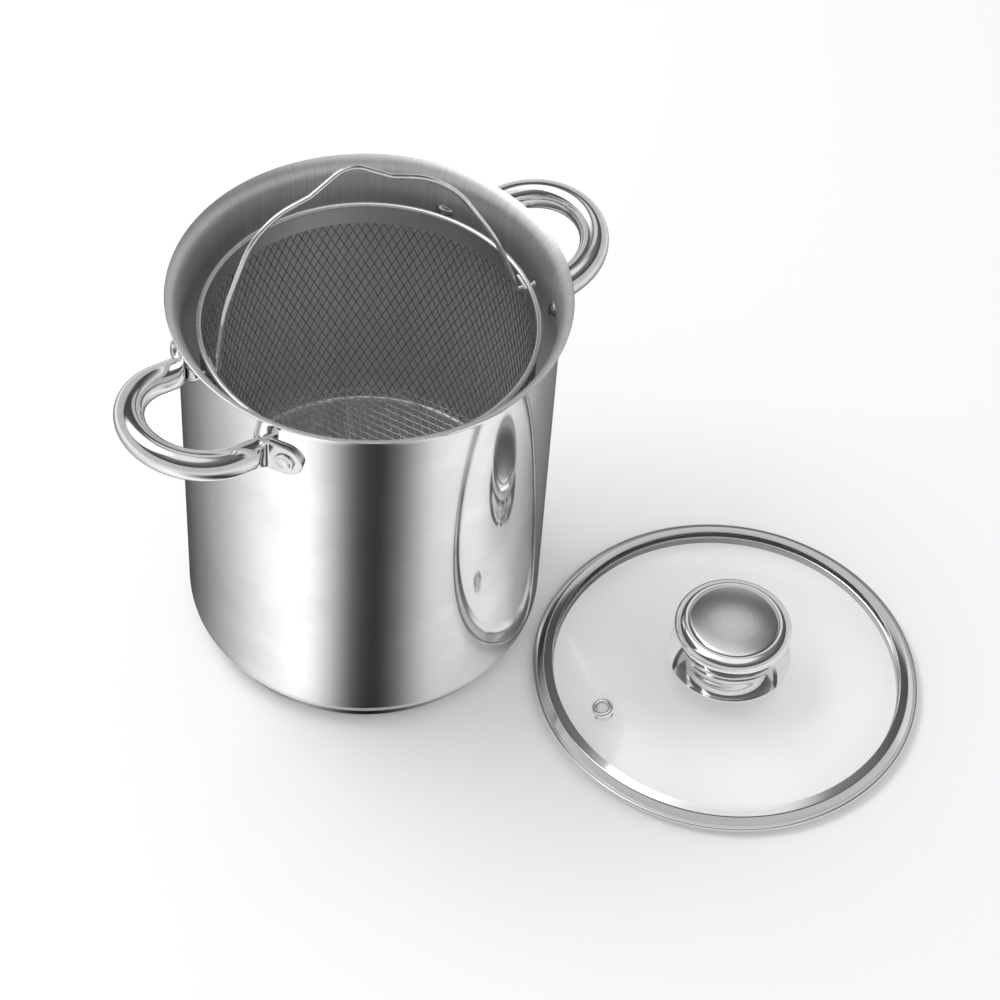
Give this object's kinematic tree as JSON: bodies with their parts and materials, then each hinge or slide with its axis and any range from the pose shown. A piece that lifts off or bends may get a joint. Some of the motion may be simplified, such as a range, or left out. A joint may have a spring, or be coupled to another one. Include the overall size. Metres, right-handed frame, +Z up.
{
  "type": "tempura pot",
  "caption": "Tall stainless pot with riveted loop handles, a lift-out mesh basket with a swinging bail, and a glass lid lying beside it.",
  "frame": {"origin": "middle of the pot's base, on the surface that the pot stands on", "axes": "+Z up; the two loop handles lie close to +X and -X, turned 4.4 degrees from them about +Z; the lid lies on the surface towards +X and -Y"},
  "size_m": [0.3229, 0.3074, 0.2447],
  "materials": {
    "polished_steel": "mirror polished outside, satin inside",
    "satin_steel": "fine brushed",
    "wire_steel": "bright drawn wire",
    "aluminium_core": "pressed",
    "clear_glass": "clear tempered",
    "seal_rubber": "translucent silicone"
  },
  "bodies": {
    "pot": {"pot_shell": "polished_steel", "base_core": "aluminium_core", "base_cap": "polished_steel", "handle_right": "polished_steel", "handle_left": "polished_steel", "rivet_right_back": "polished_steel", "rivet_right_front": "polished_steel", "rivet_left_back": "polished_steel", "rivet_left_front": "polished_steel", "basket_band": "polished_steel", "basket_rim_wire": "wire_steel", "basket_wall": "wire_steel", "basket_floor": "wire_steel", "basket_foot_ring": "wire_steel", "basket_foot_1": "wire_steel", "basket_foot_2": "wire_steel", "basket_foot_3": "wire_steel", "bail_lug_right": "polished_steel", "bail_lug_left": "polished_steel", "lid_glass": "clear_glass", "lid_ring": "polished_steel", "vent_eyelet": "polished_steel", "knob_cap": "satin_steel", "knob_base": "polished_steel", "knob_post": "satin_steel", "knob_screw": "satin_steel", "knob_washer": "satin_steel", "knob_upper_seal": "seal_rubber", "knob_lower_seal": "seal_rubber"},
    "bail": {"bail": "wire_steel"}
  },
  "joints": [
    {"name": "bail_swing", "type": "hinge", "parent": "pot", "child": "bail", "pos_m": [0, 0, 0.174], "axis": [0.9799, -0.1994, 0], "range_deg": [-64, 104]}
  ]
}
